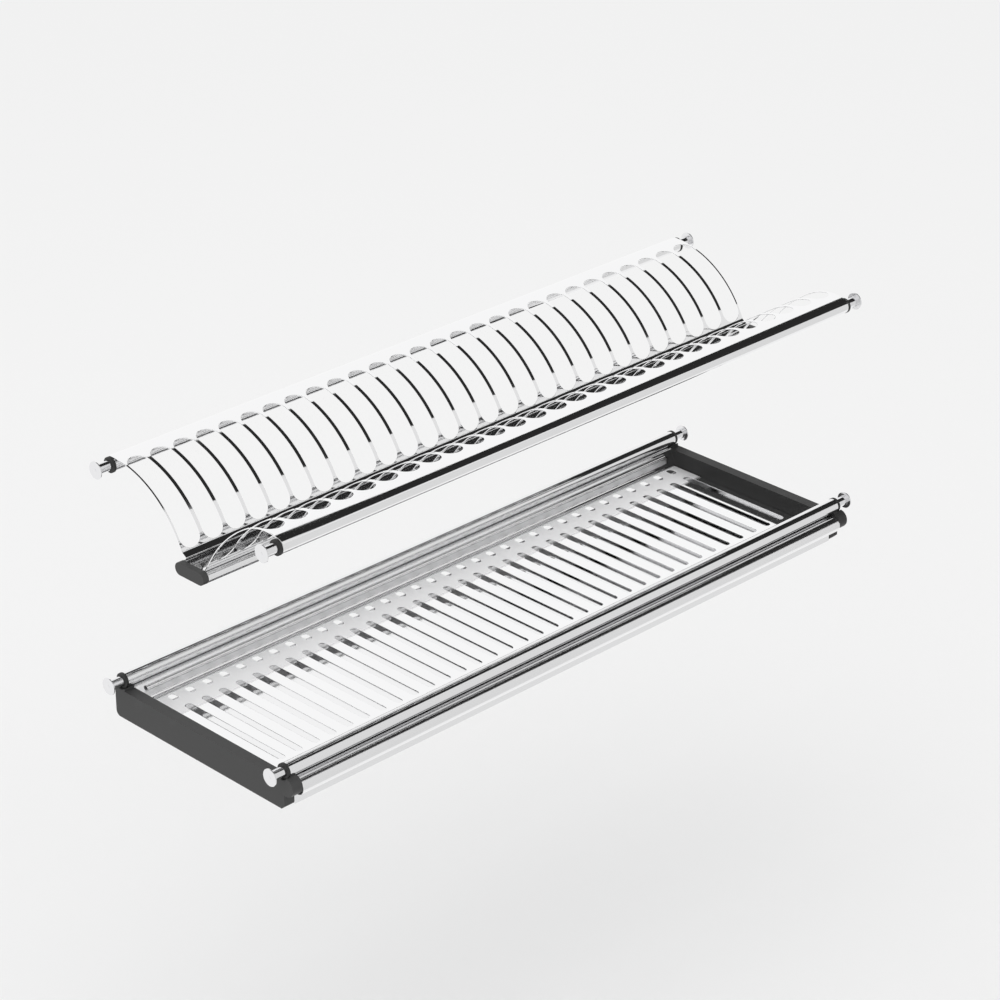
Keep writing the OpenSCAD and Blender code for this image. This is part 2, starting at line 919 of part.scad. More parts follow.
lower_front_left_stop();
lower_front_right_collar();
lower_front_right_pin();
lower_front_right_spring();
lower_front_right_stop();
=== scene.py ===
"""Cabinet dish rack: the looks of its two racks, its drip tray and its sprung rail ends.

Sizes are millimetres in the rails' frame: X runs along the rails, +Y is the back of the cabinet,
+Z is up, and the origin lies midway between the axes of the lower rails. ORIGIN moves a point
into the part's own frame, where the objects are made in metres.
"""

from __future__ import annotations

import logging
import math
from dataclasses import dataclass, field
from enum import Enum

import bmesh
import bpy
import numpy as np
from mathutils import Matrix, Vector
from mathutils.geometry import tessellate_polygon


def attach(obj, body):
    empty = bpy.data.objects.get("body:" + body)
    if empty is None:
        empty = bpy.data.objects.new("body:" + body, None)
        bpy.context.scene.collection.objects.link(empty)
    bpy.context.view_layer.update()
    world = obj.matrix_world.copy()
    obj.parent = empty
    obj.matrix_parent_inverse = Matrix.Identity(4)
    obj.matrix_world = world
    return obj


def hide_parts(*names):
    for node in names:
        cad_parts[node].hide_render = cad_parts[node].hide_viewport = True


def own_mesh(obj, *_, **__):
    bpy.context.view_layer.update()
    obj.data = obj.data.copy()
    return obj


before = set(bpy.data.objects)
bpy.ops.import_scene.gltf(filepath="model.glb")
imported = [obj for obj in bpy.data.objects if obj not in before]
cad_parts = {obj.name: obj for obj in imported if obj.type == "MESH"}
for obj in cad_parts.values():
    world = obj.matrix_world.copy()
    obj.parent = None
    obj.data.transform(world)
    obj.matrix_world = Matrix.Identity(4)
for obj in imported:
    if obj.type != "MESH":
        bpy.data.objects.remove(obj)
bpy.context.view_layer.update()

logging.basicConfig(level=logging.INFO, format="%(message)s")
log = logging.getLogger("dish_rack")

Array = np.ndarray
Colour = tuple[float, float, float]
MM = 0.001
ORIGIN = np.array([0.0, 4.0, 42.0])
WELD = 1e-4


class Side(Enum):
    """An end of the rails, with its sign on X."""

    LEFT = -1
    RIGHT = 1


class Level(Enum):
    """A rack, with the height of its rails' axes."""

    UPPER = 245.0
    LOWER = 0.0


class Row(Enum):
    """A rail of a rack, with the place of its axis from front to back."""

    REAR = 125.0
    FRONT = -125.0


class Slot(Enum):
    """A material slot of the part's record."""

    TUBE = "polished_tube"
    SHEET = "mirror_sheet"
    CHANNEL = "polished_channel"
    PIN = "steel_pin"
    SPRING = "spring_steel"
    MOULDING = "dark_moulding"
    TRAY = "tray_sheet"


# ---------------------------------------------------------------- lines and outlines


def unit(vectors: Array) -> Array:
    """Vectors divided by their own lengths, which run along the last axis."""
    return vectors / np.maximum(np.linalg.norm(vectors, axis=-1, keepdims=True), 1e-12)


def arc(
    centre: tuple[float, float],
    radius: float,
    start: float,
    end: float,
    outward: float = 1.0,
    step: float = 2.0,
) -> Array:
    """Points and normals on an arc.

    A point is the centre plus the radius times (cos a, sin a), and its normal is that same
    direction times `outward`.

    Args:
        centre: The arc's centre.
        radius: Its radius.
        start: First angle, in degrees from the first axis towards the second.
        end: Last angle.
        outward: 1 for normals away from the centre, -1 for normals towards it.
        step: Largest angle between two points.

    Returns:
        Rows of two coordinates and two normal components.
    """
    count = max(2, math.ceil(abs(end - start) / step) + 1)
    angle = np.radians(np.linspace(start, end, count))
    radial = np.stack([np.cos(angle), np.sin(angle)], axis=1)
    return np.hstack([np.asarray(centre) + radius * radial, outward * radial])


def on_circle(centre: tuple[float, float], radius: float, degrees: float) -> tuple[float, float]:
    """The centre plus the radius times (cos a, sin a)."""
    angle = math.radians(degrees)
    return centre[0] + radius * math.cos(angle), centre[1] + radius * math.sin(angle)


def chain(
    points: list[tuple[float, float]],
    radius: float | list[float],
    right: float,
    closed: bool = False,
    steps: int = 7,
) -> Array:
    """Points and normals along straight runs whose corners are rounded.

    In a corner the normal turns evenly from one run's to the next's, and the point is the
    corner's centre plus the radius along that normal.

    Args:
        points: The corners, and on an open chain its two ends.
        radius: Radius of every corner, or one for each corner.
        right: 1 for normals to the right of the way along the chain, -1 for the left.
        closed: Whether the chain runs back to its first point.
        steps: Points on each corner.

    Returns:
        Rows of two coordinates and two normal components.
    """
    corner = np.asarray(points, float)
    ring = np.vstack([corner[-1:], corner, corner[:1]]) if closed else corner
    run = unit(np.diff(ring, axis=0))
    rights = np.stack([run[:, 1], -run[:, 0]], axis=1)
    before, after, first = run[:-1], run[1:], rights[:-1]
    turn = np.arctan2(
        before[:, 0] * after[:, 1] - before[:, 1] * after[:, 0],
        (before * after).sum(axis=1),
    )
    bend = np.sign(turn) * radius
    back = np.abs(bend) * np.tan(np.abs(turn) / 2)
    centre = ring[1:-1] - before * back[:, None] - bend[:, None] * first
    angle = (
        np.arctan2(first[:, 1], first[:, 0])[:, None]
        + turn[:, None] * np.linspace(0, 1, steps)[None, :]
    )
    outward = np.stack([np.cos(angle), np.sin(angle)], axis=2)
    spots = centre[:, None, :] + bend[:, None, None] * outward
    rows = np.concatenate([spots, right * outward], axis=2).reshape(-1, 4)
    if closed:
        return rows
    ends = np.hstack([corner[[0, -1]], right * rights[[0, -1]]])
    return np.vstack([ends[:1], rows, ends[1:]])


@dataclass
class MiddleLine:
    """The middle line of a sheet across the rails, by the distance along it.

    Attributes:
        rows: Coordinates and normals of its points, in order.
        right: 1 where the normals lie to the right of the way along it, -1 to the left.
    """

    rows: Array
    right: float
    along: Array = field(init=False)
    effort: Array = field(init=False)

    def __post_init__(self) -> None:
        """Works out the distance along the line and the turn that goes with it."""
        step = np.linalg.norm(np.diff(self.rows[:, :2], axis=0), axis=1)
        self.rows = self.rows[np.concatenate([[True], step > 1e-6])]
        step = step[step > 1e-6]
        self.along = np.concatenate([[0.0], np.cumsum(step)])
        before, after = self.rows[:-1, 2:], self.rows[1:, 2:]
        turn = np.degrees(np.arccos(np.clip((before * after).sum(axis=1), -1, 1)))
        self.effort = np.concatenate([[0.0], np.cumsum(turn)])

    @property
    def length(self) -> float:
        """Length of the whole line."""
        return float(self.along[-1])

    def nearest(self, y: float, z: float) -> float:
        """Distance along the line of its point nearest to (y, z)."""
        fine = np.linspace(0, self.length, 8000)
        gap = np.linalg.norm(self.point(fine) - np.array([y, z]), axis=1)
        return float(fine[np.argmin(gap)])

    def point(self, along: Array) -> Array:
        """Points at the given distances along the line."""
        return np.stack([np.interp(along, self.along, self.rows[:, i]) for i in (0, 1)], axis=-1)

    def normal(self, along: Array) -> Array:
        """Normals at the given distances along the line."""
        return unit(np.stack([np.interp(along, self.along, self.rows[:, i]) for i in (2, 3)], axis=-1))

    def stations(self, low: float, high: float, longest: float, sharpest: float = 6.0) -> Array:
        """Distances from low to high, closer together where the line bends.

        Args:
            low: First distance along the line.
            high: Last distance.
            longest: Largest step on a straight run.
            sharpest: Largest turn between two stations, in degrees.

        Returns:
            The distances, the two ends among them.
        """
        fine = np.unique(np.concatenate([[low, high], self.along[(self.along > low) & (self.along < high)]]))
        cost = fine / longest + np.interp(fine, self.along, self.effort) / sharpest
        count = max(2, math.ceil(cost[-1] - cost[0]) + 1)
        return np.interp(np.linspace(cost[0], cost[-1], count), cost, fine)


# ---------------------------------------------------------------- surfaces


@dataclass
class Surface:
    """A piece's surface while it is being built, in millimetres of the rails' frame."""

    points: list[Array] = field(default_factory=list)
    normals: list[Array] = field(default_factory=list)
    faces: list[Array] = field(default_factory=list)
    count: int = 0

    def add(self, points: Array, normals: Array, wrap: bool = False) -> None:
        """Adds grids of points; every four neighbours make two triangles.

        Args:
            points: Points, shaped (..., rows, columns, 3).
            normals: Their outward normals, in the same shape.
            wrap: Whether the last column joins the first.
        """
        index = np.arange(points[..., 0].size).reshape(points.shape[:-1]) + self.count
        if wrap:
            index = np.concatenate([index, index[..., :1]], axis=-1)
        a, b = index[..., :-1, :-1], index[..., 1:, :-1]
        c, d = index[..., 1:, 1:], index[..., :-1, 1:]
        faces = np.concatenate([np.stack([a, b, c], -1).reshape(-1, 3), np.stack([a, c, d], -1).reshape(-1, 3)])
        self.add_faces(points.reshape(-1, 3), normals.reshape(-1, 3), faces)

    def add_faces(self, points: Array, normals: Array, faces: Array) -> None:
        """Adds triangles, each turned so that it faces the way of its points' normals."""
        corner = points[faces - self.count]
        facing = np.cross(corner[:, 1] - corner[:, 0], corner[:, 2] - corner[:, 0])
        wrong = (facing * normals[faces - self.count].sum(axis=1)).sum(axis=1) < 0
        faces[wrong] = faces[wrong][:, [0, 2, 1]]
        self.points.append(points)
        self.normals.append(normals)
        self.faces.append(faces)
        self.count += len(points)

    def build(self, name: str) -> bpy.types.Object:
        """Welds the grids into one mesh that keeps their normals.

        Args:
            name: Name of the new object.

        Returns:
            The object, at the origin, with its place in its mesh.
        """
        points, normals = np.vstack(self.points), np.vstack(self.normals)
        faces = np.vstack(self.faces)
        _, first, inverse = np.unique(
            np.round(points / WELD).astype(np.int64), axis=0, return_index=True, return_inverse=True
        )
        welded = inverse.reshape(-1)[faces]
        whole = (
            (welded[:, 0] != welded[:, 1])
            & (welded[:, 1] != welded[:, 2])
            & (welded[:, 2] != welded[:, 0])
        )
        mesh = bpy.data.meshes.new(name)
        mesh.from_pydata(((points[first] + ORIGIN) * MM).tolist(), [], welded[whole].tolist())
        mesh.shade_smooth()
        mesh.normals_split_custom_set(unit(normals[faces[whole]].reshape(-1, 3)).tolist())
        made = bpy.data.objects.new(name, mesh)
        bpy.context.scene.collection.objects.link(made)
        return made


@dataclass(frozen=True)
class SlotRow:
    """A row of round-ended slots across a sheet.

    Attributes:
        borders: Places along the rails between which each slot's cell of sheet lies.
        centres: Places of the slots along the rails.
        half_width: Half of a slot's width.
        low: Distance along the middle line where the slots start.
        high: Distance where they end.
        cell_low: Distance where their cells start.
        cell_high: Distance where their cells end.
    """

    borders: Array
    centres: Array
    half_width: float
    low: float
    high: float
    cell_low: float
    cell_high: float


@dataclass(frozen=True)
class PressedSheet:
    """A sheet bent along a middle line, with rows of slots and softly rounded edges.

    A point of the flat sheet is (across, along): across runs along the rails, along follows the
    middle line. Bending puts it at the middle line's point plus an offset along the normal.
    """

    line: MiddleLine
    half: float
    thickness: float
    rows: tuple[SlotRow, ...]
    edge: float = 0.3
    longest: float = 5.0
    shares: Array = field(default_factory=lambda: np.linspace(0, 1, 9))
    rings: int = 4

    def edge_levels(self) -> Array:
        """Section of an edge: inset, offset, and the normal's shares along the sheet's normal and outward.

        The inset is the edge radius times (1 - sin a), and the offset is half the thickness less
        the radius times (1 - cos a), mirrored for the other face.
        """
        angle = np.radians(np.linspace(0, 90, 5))
        top = np.stack(
            [
                self.edge * (1 - np.sin(angle)),
                self.thickness / 2 - self.edge * (1 - np.cos(angle)),
                np.cos(angle),
                np.sin(angle),
            ],
            axis=1,
        )
        return np.vstack([top, top[::-1] * np.array([1, -1, -1, 1])])

    def clipped(self, across: Array, along: Array, inset: Array | float) -> tuple[Array, Array]:
        """The flat point, kept an inset inside the sheet's outer edges."""
        return (
            np.clip(across, -self.half + inset, self.half - inset),
            np.clip(along, inset, self.line.length - inset),
        )

    def bend(
        self,
        across: Array,
        along: Array,
        offset: Array | float,
        lift: Array | float,
        outward: tuple[Array, Array] | None = None,
        share: Array | float = 0.0,
    ) -> tuple[Array, Array]:
        """Bends flat points and gives their normals.

        Args:
            across: Places along the rails.
            along: Distances along the middle line.
            offset: Distances off the middle line.
            lift: Share of the sheet's own normal in the result.
            outward: Direction in the flat sheet in which an edge faces.
            share: Share of that direction in the result.

        Returns:
            Points and normals.
        """
        across, along, offset = np.broadcast_arrays(across, along, offset)
        middle, normal = self.line.point(along), self.line.normal(along)
        points = np.concatenate([across[..., None], middle + offset[..., None] * normal], axis=-1)
        lift, share = np.broadcast_arrays(np.asarray(lift), along)[0], np.asarray(share)
        way = np.concatenate([np.zeros_like(across)[..., None], lift[..., None] * normal], axis=-1)
        if outward is not None:
            tangent = self.line.right * np.stack([-normal[..., 1], normal[..., 0]], axis=-1)
            out_x, out_v = np.broadcast_arrays(*outward, along)[:2]
            plan = np.concatenate([out_x[..., None], out_v[..., None] * tangent], axis=-1)
            way = way + np.broadcast_to(share, along.shape)[..., None] * plan
        return points, unit(way)

    def slot_cells(self, surface: Surface, row: SlotRow, across: Array, along: Array) -> None:
        """Adds a row's cells: rings from each cell's border to its slot, and the slots' edges.

        A slot's edge point is the nearest point of the slot's middle segment plus half the
        slot's width towards the border point. The rings lie evenly between the two.
        """
        count = len(row.centres)
        x = across.reshape(count, -1)
        bottom, top = x[:, :-1], x[:, :0:-1]
        right = np.broadcast_to(x[:, -1:], (count, len(along) - 1))
        left = np.broadcast_to(x[:, :1], (count, len(along) - 1))
        border_x = np.concatenate([bottom, right, top, left], axis=1)
        width = bottom.shape[1]
        border_v = np.concatenate(
            [np.full(width, along[0]), along[:-1], np.full(width, along[-1]), along[:0:-1]]
        )
        border_v = np.broadcast_to(border_v, border_x.shape)
        centre_x = row.centres[:, None]
        centre_v = np.clip(border_v, row.low + row.half_width, row.high - row.half_width)
        away = unit(np.stack([border_x - centre_x, border_v - centre_v], axis=-1))
        rim = row.half_width + self.edge
        inner_x, inner_v = centre_x + rim * away[..., 0], centre_v + rim * away[..., 1]
        edge_x, edge_v = self.clipped(border_x, border_v, self.edge)
        share = np.linspace(0, 1, self.rings + 1)[None, :, None]
        ring_x = edge_x[:, None, :] * (1 - share) + inner_x[:, None, :] * share
        ring_v = edge_v[:, None, :] * (1 - share) + inner_v[:, None, :] * share
        for face in (1.0, -1.0):
            surface.add(*self.bend(ring_x, ring_v, face * self.thickness / 2, face), wrap=True)
        inset, offset, lift, out = (level[None, :, None] for level in self.edge_levels().T)
        reach = row.half_width + inset
        level_x = centre_x[:, None, :] + reach * away[:, None, :, 0]
        level_v = centre_v[:, None, :] + reach * away[:, None, :, 1]
        facing = (-away[:, None, :, 0], -away[:, None, :, 1])
        surface.add(*self.bend(level_x, level_v, offset, lift, facing, out), wrap=True)

    def surface(self) -> Surface:
        """The whole sheet: its slotted and plain stretches, and the edge all round."""
        surface = Surface()
        borders = self.rows[0].borders
        spans = borders[:-1, None] + self.shares[None, :] * np.diff(borders)[:, None]
        across = np.unique(np.round(spans, 9))
        stops = [0.0]
        for row in self.rows:
            stops += [row.cell_low, row.cell_high]
        stops.append(self.line.length)
        slotted = {row.cell_low: row for row in self.rows}
        stations = []
        for low, high in zip(stops[:-1], stops[1:]):
            if high - low < 1e-6:
                continue
            along = self.line.stations(low, high, self.longest)
            stations.append(along)
            if low in slotted:
                self.slot_cells(surface, slotted[low], np.round(spans, 9), along)
                continue
            flat = self.clipped(*np.meshgrid(across, along), self.edge)
            for face in (1.0, -1.0):
                surface.add(*self.bend(*flat, face * self.thickness / 2, face))
        along = np.unique(np.round(np.concatenate(stations), 9))
        self.outer_edge(surface, across, along)
        return surface

    def outer_edge(self, surface: Surface, across: Array, along: Array) -> None:
        """Adds the rounded edge round the sheet: its outline at each level of the edge's section."""
        x = np.concatenate(
            [across[:-1], np.full(len(along) - 1, across[-1]), across[:0:-1], np.full(len(along) - 1, across[0])]
        )
        v = np.concatenate(
            [np.full(len(across) - 1, along[0]), along[:-1], np.full(len(across) - 1, along[-1]), along[:0:-1]]
        )
        facing = unit(
            np.stack(
                [
                    np.sign(x) * (np.abs(x) >= self.half - 1e-6),
                    (v >= along[-1]).astype(float) - (v <= along[0]).astype(float),
                ],
                axis=-1,
            )
        )
        inset, offset, lift, out = (level[:, None] for level in self.edge_levels().T)
        level_x, level_v = self.clipped(x[None, :], v[None, :], inset)
        way = (np.broadcast_to(facing[:, 0], level_x.shape), np.broadcast_to(facing[:, 1], level_x.shape))
        surface.add(*self.bend(level_x, level_v, offset, lift, way, out), wrap=True)


@dataclass(frozen=True)
class Bar:
    """A straight bar: closed outlines across the rails, carried from one X to another.

    Attributes:
        outlines: The outer outline and then its bores, as rows of coordinates and normals.
        low: X of its left end.
        high: X of its right end.
    """

    outlines: tuple[Array, ...]
    low: float
    high: float

    def surface(self, sections: int = 25) -> Surface:
        """The bar's walls, each outline repeated at even steps along X, and its two end faces."""
        surface = Surface()
        across = np.linspace(self.low, self.high, sections)
        for rows in self.outlines:
            x = np.broadcast_to(across[:, None, None], (sections, len(rows), 1))
            yz = np.broadcast_to(rows[None, :, :2], (sections, len(rows), 2))
            way = np.broadcast_to(rows[None, :, 2:], (sections, len(rows), 2))
            surface.add(
                np.concatenate([x, yz], axis=2), np.concatenate([np.zeros_like(x), way], axis=2), wrap=True
            )
        loops = [[Vector((y, z, 0)) for y, z in rows[:, :2]] for rows in self.outlines]
        faces = np.array(tessellate_polygon(loops), int)
        flat = np.vstack([rows[:, :2] for rows in self.outlines])
        for x, way in ((self.low, -1.0), (self.high, 1.0)):
            points = np.hstack([np.full((len(flat), 1), x), flat])
            normals = np.tile([way, 0.0, 0.0], (len(flat), 1))
            surface.add_faces(points, normals, faces + surface.count)
        return surface


@dataclass(frozen=True)
class Turning:
    """A turned piece on a rail's axis: an outline of (distance outward, radius), spun about X."""

    rows: Array

    def surface(self, side: Side, y: float, z: float, start: float, count: int = 96) -> Surface:
        """The outline's points at even angles round the axis.

        Args:
            side: End of the rail that the piece sits at.
            y: Place of the rail's axis from front to back.
            z: Height of the rail's axis.
            start: Distance of the outline's zero from the middle of the rail.
            count: Angles in a full turn.

        Returns:
            The turned surface.
        """
        angle = np.linspace(0, 2 * math.pi, count, endpoint=False)
        far, radius, way_x, way_r = (column[:, None] for column in self.rows.T)
        points = np.stack(
            [
                np.broadcast_to(side.value * (start + far), (len(self.rows), count)),
                y + radius * np.cos(angle),
                z + radius * np.sin(angle),
            ],
            axis=-1,
        )
        normals = np.stack(
            [
                np.broadcast_to(side.value * way_x, (len(self.rows), count)),
                way_r * np.cos(angle),
                way_r * np.sin(angle),
            ],
            axis=-1,
        )
        surface = Surface()
        surface.add(points, normals, wrap=True)
        return surface


# ---------------------------------------------------------------- shading


class Value:
    """A number that varies over a surface: a socket with Python's operators as Math nodes."""

    def __init__(self, recipe: Recipe, socket: bpy.types.NodeSocket) -> None:
        """Wraps a socket of the recipe's tree."""
        self.recipe = recipe
        self.socket = socket

    def math(self, operation: str, *operands: Value | float) -> Value:
        """The result of one Math node on these operands."""
        node = self.recipe.node("ShaderNodeMath", {"operation": operation}, dict(enumerate(operands)))
        return Value(self.recipe, node.outputs[0])

    def __add__(self, other: Value | float) -> Value:
        """Sum."""
        return self.math("ADD", self, other)

    __radd__ = __add__

    def __sub__(self, other: Value | float) -> Value:
        """Difference."""
        return self.math("SUBTRACT", self, other)

    def __rsub__(self, other: float) -> Value:
        """A number less this value."""
        return self.math("SUBTRACT", other, self)

    def __mul__(self, other: Value | float) -> Value:
        """Product."""
        return self.math("MULTIPLY", self, other)

    __rmul__ = __mul__

    def step(self, low: float, high: float) -> Value:
        """0 below low, 1 above high, and a smooth rise between them."""
        node = self.recipe.node(
            "ShaderNodeMapRange", {"interpolation_type": "SMOOTHSTEP"}, {0: self, 1: low, 2: high, 3: 0.0, 4: 1.0}
        )
        return Value(self.recipe, node.outputs[0])


class Recipe:
    """A node tree while it is being laid out."""

    def __init__(self, tree: bpy.types.NodeTree) -> None:
        """Starts from an empty tree."""
        self.tree = tree
        tree.nodes.clear()

    def node(self, kind: str, settings: dict | None = None, inputs: dict | None = None) -> bpy.types.Node:
        """Adds a node.

        Args:
            kind: The node's type.
            settings: Its properties, set first.
            inputs: Values or links of its sockets, by name or number.

        Returns:
            The new node.
        """
        made = self.tree.nodes.new(kind)
        for name, setting in (settings or {}).items():
            setattr(made, name, setting)
        for key, given in (inputs or {}).items():
            given = given.socket if isinstance(given, Value) else given
            if isinstance(given, bpy.types.NodeSocket):
                self.tree.links.new(given, made.inputs[key])
            else:
                made.inputs[key].default_value = given
        return made

    def place(self) -> bpy.types.NodeSocket:
        """The surface's own coordinates, in metres."""
        return self.node("ShaderNodeTexCoord").outputs["Object"]

    def scaled(self, vector: bpy.types.NodeSocket, scale: Colour) -> bpy.types.NodeSocket:
        """The vector with each part multiplied."""
        return self.node("ShaderNodeVectorMath", {"operation": "MULTIPLY"}, {0: vector, 1: scale}).outputs[0]

    def noise(self, vector: bpy.types.NodeSocket, scale: float, detail: float = 2.0) -> Value:
        """Soft noise between 0 and 1."""
        inputs = {"Vector": vector, "Scale": scale, "Detail": detail, "Roughness": 0.5}
        return Value(self, self.node("ShaderNodeTexNoise", None, inputs).outputs[0])

    def blend(self, share: Value, first: Colour, second: Colour) -> bpy.types.NodeSocket:
        """The first colour where the share is 0 and the second where it is 1."""
        inputs = {0: share, 6: (*first, 1.0), 7: (*second, 1.0)}
        return self.node("ShaderNodeMix", {"data_type": "RGBA"}, inputs).outputs[2]

    def bump(self, height: Value, depth: float, below: bpy.types.NodeSocket | None = None) -> bpy.types.NodeSocket:
        """A normal tilted by a height, of which 1 stands for the depth in metres."""
        inputs = {"Height": height, "Distance": depth, "Strength": 1.0}
        if below is not None:
            inputs["Normal"] = below
        return self.node("ShaderNodeBump", None, inputs).outputs[0]


def new_material(name: str) -> tuple[bpy.types.Material, Recipe]:
    """A node material and its recipe."""
    made = bpy.data.materials.new(name)
    made.use_nodes = True
    return made, Recipe(made.node_tree)


def shade(tone: Colour, factor: float) -> Colour:
    """A colour times a factor."""
    return tuple(part * factor for part in tone)


@dataclass(frozen=True)
class PolishedMetal:
    """Polished metal: clean reflections, faint lines of drawing or rolling, and handling marks.

    Attributes:
        name: Name of the material.
        colour: Colour of its reflections.
        roughness: Roughness of clean metal.
        lines: Roughness that the rolling lines add.
        marks: Roughness that handling marks add.
        wave: Height of the surface's long waves, in metres.
        frost: Depths between which a pale frosted strip runs along the back, in metres.
        frost_pale: Share of that strip's reflection which is pale instead of mirrored.
        frost_rough: Roughness that the strip adds.
        frost_rise: Width over which the strip sets in.
        frost_fall: Width over which it ends.
        rolled_scale: How often the rolling lines come in a metre along X, Y and Z.
        rolled_depth: Their depth, in metres.
        wave_scale: How often the long waves come in a metre along X, Y and Z.
    """

    name: str
    colour: Colour
    roughness: float
    lines: float
    marks: float
    wave: float
    frost: tuple[float, float] | None = None
    frost_pale: float = 0.85
    frost_rough: float = 0.3
    frost_rise: float = 0.008
    frost_fall: float = 0.004
    rolled_scale: Colour = (3.0, 900.0, 900.0)
    rolled_depth: float = 2e-7
    wave_scale: Colour = (9.0, 16.0, 16.0)

    def material(self) -> bpy.types.Material:
        """Base colour, roughness and normal from noise along and across the rails."""
        made, recipe = new_material(self.name)
        place = recipe.place()
        rolled = recipe.noise(recipe.scaled(place, self.rolled_scale), 1.0, 3.0)
        handled = recipe.noise(place, 14.0, 4.0).step(0.52, 0.72)
        tint = recipe.noise(place, 5.0, 2.0)
        long_wave = recipe.noise(recipe.scaled(place, self.wave_scale), 1.0, 1.0)
        normal = recipe.bump(long_wave, self.wave)
        normal = recipe.bump(rolled, self.rolled_depth, normal)
        roughness = self.roughness + self.lines * rolled + self.marks * handled
        metallic: Value | float = 1.0
        if self.frost:
            depth = Value(recipe, recipe.node("ShaderNodeSeparateXYZ", None, {0: place}).outputs[1])
            start, end = self.frost
            strip = depth.step(start, start + self.frost_rise) * (1.0 - depth.step(end, end + self.frost_fall))
            metallic = 1.0 - self.frost_pale * strip
            roughness = roughness + self.frost_rough * strip
        shader = recipe.node(
            "ShaderNodeBsdfPrincipled",
            None,
            {
                "Base Color": recipe.blend(tint, shade(self.colour, 0.96), self.colour),
                "Metallic": metallic,
                "Roughness": roughness,
                "Normal": normal,
            },
        )
        recipe.node("ShaderNodeOutputMaterial", None, {0: shader.outputs[0]})
        return made


@dataclass(frozen=True)
class MouldedPlastic:
    """Moulded plastic: a fine eroded grain, slow changes of tone and a little rub on it.

    Attributes:
        name: Name of the material.
        colour: Its colour.
        roughness: Its roughness.
        grain: Height of the grain, in metres.
        grain_scale: Grains in a metre, roughly.
        gloss: Strength of the mirror reflection, of which 0.5 is a plain plastic's.
    """

    name: str
    colour: Colour
    roughness: float
    grain: float
    grain_scale: float
    gloss: float = 0.25

    def material(self) -> bpy.types.Material:
        """Base colour, roughness and normal from fine grain and slow noise."""
        made, recipe = new_material(self.name)
        place = recipe.place()
        slow = recipe.noise(place, 9.0, 3.0)
        rubbed = recipe.noise(place, 40.0, 4.0).step(0.55, 0.75)
        grain = recipe.noise(place, self.grain_scale, 2.0)
        shader = recipe.node(
            "ShaderNodeBsdfPrincipled",
            None,
            {
                "Base Color": recipe.blend(slow, shade(self.colour, 0.94), shade(self.colour, 1.06)),
                "Roughness": self.roughness + 0.08 * slow - 0.07 * rubbed,
                "Specular IOR Level": self.gloss,
                "Normal": recipe.bump(grain, self.grain),
            },
        )
        recipe.node("ShaderNodeOutputMaterial", None, {0: shader.outputs[0]})
        return made


FINISHES = {
    Slot.TUBE: PolishedMetal("tube_polish", (0.86, 0.86, 0.865), 0.05, 0.05, 0.03, 2e-5),
    Slot.SHEET: PolishedMetal("sheet_mirror", (0.94, 0.94, 0.945), 0.035, 0.03, 0.03, 3e-5),
    Slot.CHANNEL: PolishedMetal("channel_anodised", (0.86, 0.86, 0.865), 0.10, 0.08, 0.03, 1e-5),
    Slot.PIN: PolishedMetal("pin_plate", (0.82, 0.82, 0.83), 0.07, 0.04, 0.05, 4e-6),
    Slot.SPRING: PolishedMetal("spring_wire", (0.45, 0.45, 0.47), 0.30, 0.10, 0.05, 1e-6),
    Slot.MOULDING: MouldedPlastic("moulding_grain", (0.052, 0.052, 0.052), 0.46, 2e-5, 2600.0),
    Slot.TRAY: PolishedMetal("tray_sheet", (0.90, 0.90, 0.905), 0.05, 0.03, 0.03, 2e-5),
}
# Darker moulding: on the right side plate it is painted shade, the same plastic as the left plate made darker; on the
# collars it is a darker tone.
DARK_AND_SHADED = MouldedPlastic("dark_and_shaded_grain", (0.028, 0.028, 0.028), 0.42, 2e-5, 2600.0)
SATIN = PolishedMetal("strip_satin", (0.86, 0.86, 0.865), 0.34, 0.06, 0.03, 1e-5)
SHELF = PolishedMetal("shelf_mirror", (0.94, 0.94, 0.945), 0.035, 0.03, 0.03, 3e-5, (0.070, 0.113))


class Bench:
    """Dresses finished pieces: material from their slot's finish, body, and the CAD nodes that each stands for, which
    it hides.
    """

    def __init__(self) -> None:
        """Makes each finish once."""
        finishes = [*FINISHES.values(), DARK_AND_SHADED, SATIN, SHELF]
        self.materials = {finish.name: finish.material() for finish in finishes}

    def dress(
        self,
        piece: bpy.types.Object,
        slot: Slot,
        body: str,
        *nodes: str,
        finish: PolishedMetal | MouldedPlastic | None = None,
    ) -> None:
        """Gives a new piece its finish, its body and the nodes that it replaces.

        Args:
            piece: The finished piece.
            slot: Its material slot.
            body: The body that it moves with.
            nodes: CAD nodes that it stands for.
            finish: Its own finish, where it isn't its slot's.
        """
        piece.data.materials.clear()
        piece.data.materials.append(self.materials[(finish or FINISHES[slot]).name])
        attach(piece, body)
        if nodes:
            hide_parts(*nodes)
        log.info("%s: %d faces, %s", piece.name, len(piece.data.polygons), slot.value)

    def paint(self, node: str, slot: Slot) -> None:
        """Gives a CAD node that stays its finish."""
        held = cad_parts[node]
        held.data.materials.clear()
        held.data.materials.append(self.materials[FINISHES[slot].name])
        log.info("%s: kept, %s", node, slot.value)


